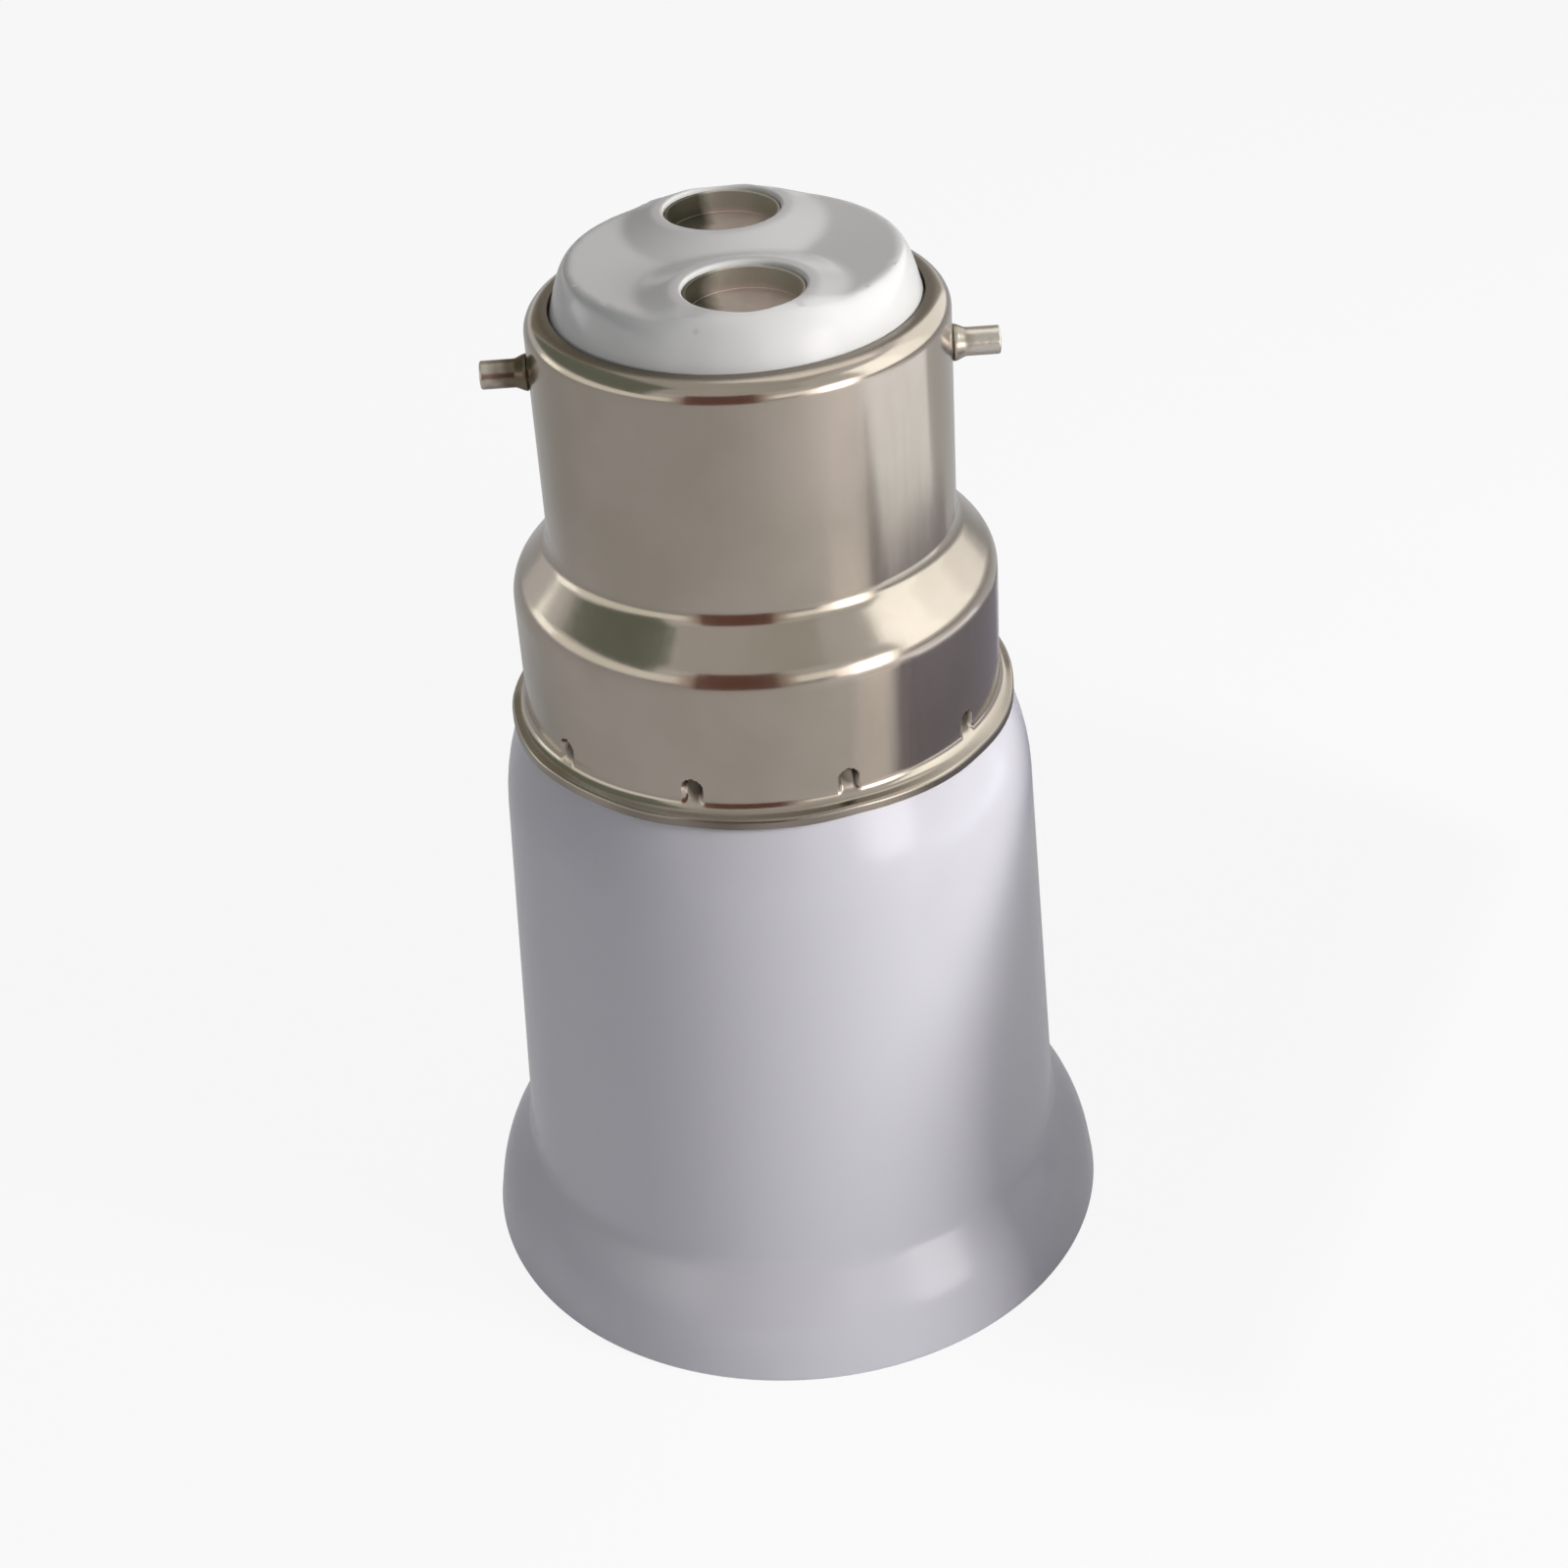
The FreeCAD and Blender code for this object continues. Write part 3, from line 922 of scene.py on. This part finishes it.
# Cards that lie just above the floor: height, shade and corners (x, y)
FLOOR_CARDS = {
    "floor_dark_card": (1, (0.27, 0.26, 0.31), [
        (44, -32), (80, -43.7), (86, -28), (91, 8), (82, 47), (47, 82), (25, 43), (43, 25)]),
    "floor_far_card": (0.9, (0.4, 0.38, 0.41), [
        (44, -32), (84, -45), (91, -49), (130, -65), (109, -41), (103, -33), (108, -3), (107, 20),
        (97, 46), (80, 66), (47, 50)]),
    "floor_light_card": (0.6, (1.5, 1.58, 1.68), [(89, -48), (150, -80), (160, 60), (90, 45)]),
    "floor_strip_card": (0.8, (1.22, 1.18, 1.18), [
        (60, -42), (84, -48), (92, -53), (86, -72), (66, -84), (58, -62)]),
    "floor_near_card": (0.8, (0.97, 0.95, 0.93), [(44, -35), (59, -41), (57, -62), (40, -56)]),
}

# Plane cards above and on the left: shade and corners
PLANE_CARDS = {
    "ceiling_card": ((0.62, 0.61, 0.59), [
        (-170, -150, 340), (150, -150, 340), (150, 170, 340), (-170, 170, 340)]),
    "left_dark_card": ((0.22, 0.25, 0.21), [
        (-150, -125, 100), (-150, -125, 340), (-150, 188, 340), (-150, 188, 105)]),
}

# Cards bent round the axis: bearings from the front, angles of height, shade
ROUND_CARDS = {
    "left_band": ((-122, -104), (1, 13), (2.0, 2.05, 1.95)),
    "front_band": ((-104, -36), (0, 16), (1.2, 1.2, 1.13)),
    "front_fade": ((-36, -30), (-6, 24), (0.65, 0.55, 0.5)),
    "right_fade": ((8, 14), (-6, 24), (0.65, 0.55, 0.5)),
    "right_band": ((14, 32), (0, 15), (1.5, 1.5, 1.42)),
    "window_left": ((32, 39), (-8, 13), (2.5, 2.4, 2.4)),
    "window": ((39, 57), (-11, 15), (4.4, 4.15, 4.25)),
    "window_right": ((57, 61), (-8, 13), (2.4, 2.35, 2.3)),
    "back_window": ((64, 90), (3, 46), (2.25, 2.3, 2.25)),
    "back_window_middle": ((90, 112), (3, 46), (1.95, 2.0, 1.95)),
    "back_window_side": ((112, 150), (3, 46), (1.6, 1.62, 1.6)),
    "back_card": ((150, 190), (12, 62), (0.4, 0.37, 0.33)),
    "back_card_left": ((190, 217), (12, 62), (0.28, 0.25, 0.2)),
    "front_upper": ((-46, 34), (32, 64), (0.64, 0.63, 0.61)),
    "front_red": ((-30, 8), (-11, 31), (0.2, 0.1, 0.08)),
}
ROUND_CARD_R = 220
ROUND_CARD_Z = 45
ROUND_CARD_STEP = 8

# Flag in the main light's way: how far out it stands, and its corners across and above
FLAG_AWAY = 40
FLAG_EDGE = [(-9, -14), (-8.6, -1.6), (-8, 4.1), (-5.8, 10.6), (1, 18), (20, 33), (50, 33),
             (50, -14)]


def add_light(name, place, target, size, power, colour, mirrored):
    """Soft square lamp aimed at a point; lengths in millimetres."""
    lamp = bpy.data.lights.new(name, "AREA")
    lamp.shape = "SQUARE"
    lamp.size = size * MM
    lamp.energy = power
    lamp.color = colour
    holder = bpy.data.objects.new(name, lamp)
    holder.location = Vector(place) * MM
    aim = Vector(target) * MM - holder.location
    holder.rotation_euler = aim.to_track_quat("-Z", "Y").to_euler()
    holder.visible_glossy = mirrored
    bpy.context.scene.collection.objects.link(holder)


def add_card(name, corners, shade, faces=None):
    """Studio card that only mirrors show: corners in millimetres, and how light it looks."""
    mesh = bpy.data.meshes.new(name)
    whole = [tuple(range(len(corners)))]
    mesh.from_pydata([Vector(c) * MM for c in corners], [], faces or whole)
    paint, _, shader, _ = material(name + "_paint", (0, 0, 0), 1.0)
    shader.inputs["Specular IOR Level"].default_value = 0
    strength = max(1.0, max(shade))
    shader.inputs["Emission Color"].default_value = (*[c / strength for c in shade], 1)
    shader.inputs["Emission Strength"].default_value = strength
    mesh.materials.append(paint)
    card = bpy.data.objects.new(name, mesh)
    bpy.context.scene.collection.objects.link(card)
    card.visible_camera = False
    card.visible_diffuse = False
    card.visible_shadow = False
    card.visible_transmission = False
    return card


def add_round_card(name, sides, heights, shade):
    """Card bent round the axis between two bearings from the front and two angles of height."""
    count = max(2, round((sides[1] - sides[0]) / ROUND_CARD_STEP))
    corners = []
    for k in range(count + 1):
        side = math.radians(sides[0] + (sides[1] - sides[0]) * k / count)
        for height in heights:
            lift = ROUND_CARD_Z + ROUND_CARD_R * math.tan(math.radians(height))
            corners.append((ROUND_CARD_R * math.sin(side), -ROUND_CARD_R * math.cos(side), lift))
    faces = [(2 * k, 2 * k + 1, 2 * k + 3, 2 * k + 2) for k in range(count)]
    add_card(name, corners, shade, faces)


def add_flag(name):
    """Unseen flag between the main light and the skirt's lower right, which softens off there."""
    away = Vector(MAIN_LIGHT).normalized()
    across = Vector((-away.y, away.x, 0)).normalized()
    above = away.cross(across)
    corners = [away * FLAG_AWAY + across * h + above * v for h, v in FLAG_EDGE]
    flag = add_card(name, corners, (0, 0, 0))
    flag.visible_shadow = True
    flag.visible_glossy = False


def seen_share(tree, camera_share, mirror_share):
    """Share of white shown to the camera, and to mirrors and glass, from the light path."""
    path = tree.nodes.new("ShaderNodeLightPath")
    ray = path.outputs
    mirror = maths(tree, "MAXIMUM", ray["Is Glossy Ray"], ray["Is Transmission Ray"])
    reflected = maths(tree, "MULTIPLY", mirror, mirror_share)
    direct = maths(tree, "MULTIPLY", ray["Is Camera Ray"], camera_share)
    return maths(tree, "MAXIMUM", reflected, direct)


def part_white(tree, shares, under, white, output):
    """Puts out the lit shader, with its share of white over it."""
    mix = tree.nodes.new("ShaderNodeMixShader")
    tree.links.new(seen_share(tree, *shares), mix.inputs["Fac"])
    tree.links.new(under.outputs[0], mix.inputs[1])
    tree.links.new(white.outputs[0], mix.inputs[2])
    tree.links.new(mix.outputs[0], tree.nodes[output].inputs["Surface"])


def add_floor():
    """Pale floor that keeps the object's shadow."""
    bpy.ops.mesh.primitive_plane_add(size=FLOOR_SIZE, location=(0, 0, 0))
    floor = bpy.context.object
    floor.name = "studio_floor"
    paint, tree, shader, _ = material("floor_paint", FLOOR_COLOUR, 0.9)
    floor.data.materials.append(paint)
    white = tree.nodes.new("ShaderNodeEmission")
    white.inputs["Strength"].default_value = 1.0
    part_white(tree, FLOOR_SHARES, shader, white, "Material Output")


def add_world():
    """Dim world that is white to the camera and light grey to mirrors."""
    world = bpy.data.worlds.new("studio")
    bpy.context.scene.world = world
    world.use_nodes = True
    tree = world.node_tree
    ambient = tree.nodes["Background"]
    ambient.inputs["Color"].default_value = (*AMBIENT_COLOUR, 1)
    ambient.inputs["Strength"].default_value = AMBIENT_STRENGTH
    backdrop = tree.nodes.new("ShaderNodeBackground")
    backdrop.inputs["Color"].default_value = (1, 1, 1, 1)
    backdrop.inputs["Strength"].default_value = 1.0
    part_white(tree, WORLD_SHARES, ambient, backdrop, "World Output")


def add_stage():
    """Floor, world, soft lamps from the right, and the cards and flag round the object."""
    add_floor()
    add_world()
    for name, row in LIGHTS.items():
        add_light(name, *row)
    for name, (height, shade, corners) in FLOOR_CARDS.items():
        add_card(name, [(x, y, height) for x, y in corners], shade)
    for name, (shade, corners) in PLANE_CARDS.items():
        add_card(name, corners, shade)
    for name, row in ROUND_CARDS.items():
        add_round_card(name, *row)
    add_flag("right_flag")


# Assembly

finishes = make_materials()
build_housing(finishes["housing"])
build_shell(finishes["nickel"])
build_pin(-1, "bayonet_pin_left", finishes["pin"])
build_pin(1, "bayonet_pin_right", finishes["pin"])
build_insulator(finishes["insulator"])
for cup_node in CONTACTS:
    build_cup(cup_node, finishes["cup"])
build_screw_shell(finishes["screw"])
build_leaf(finishes["bronze"])
for node, finish in (("leaf_rivet", "brass"), ("centre_contact_button", "brass"),
                     ("lead_wire_shell", "copper"), ("lead_wire_centre", "copper")):
    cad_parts[node].material_slots[0].material = finishes[finish]

add_stage()
add_camera()
bpy.context.scene.view_settings.view_transform = "Standard"
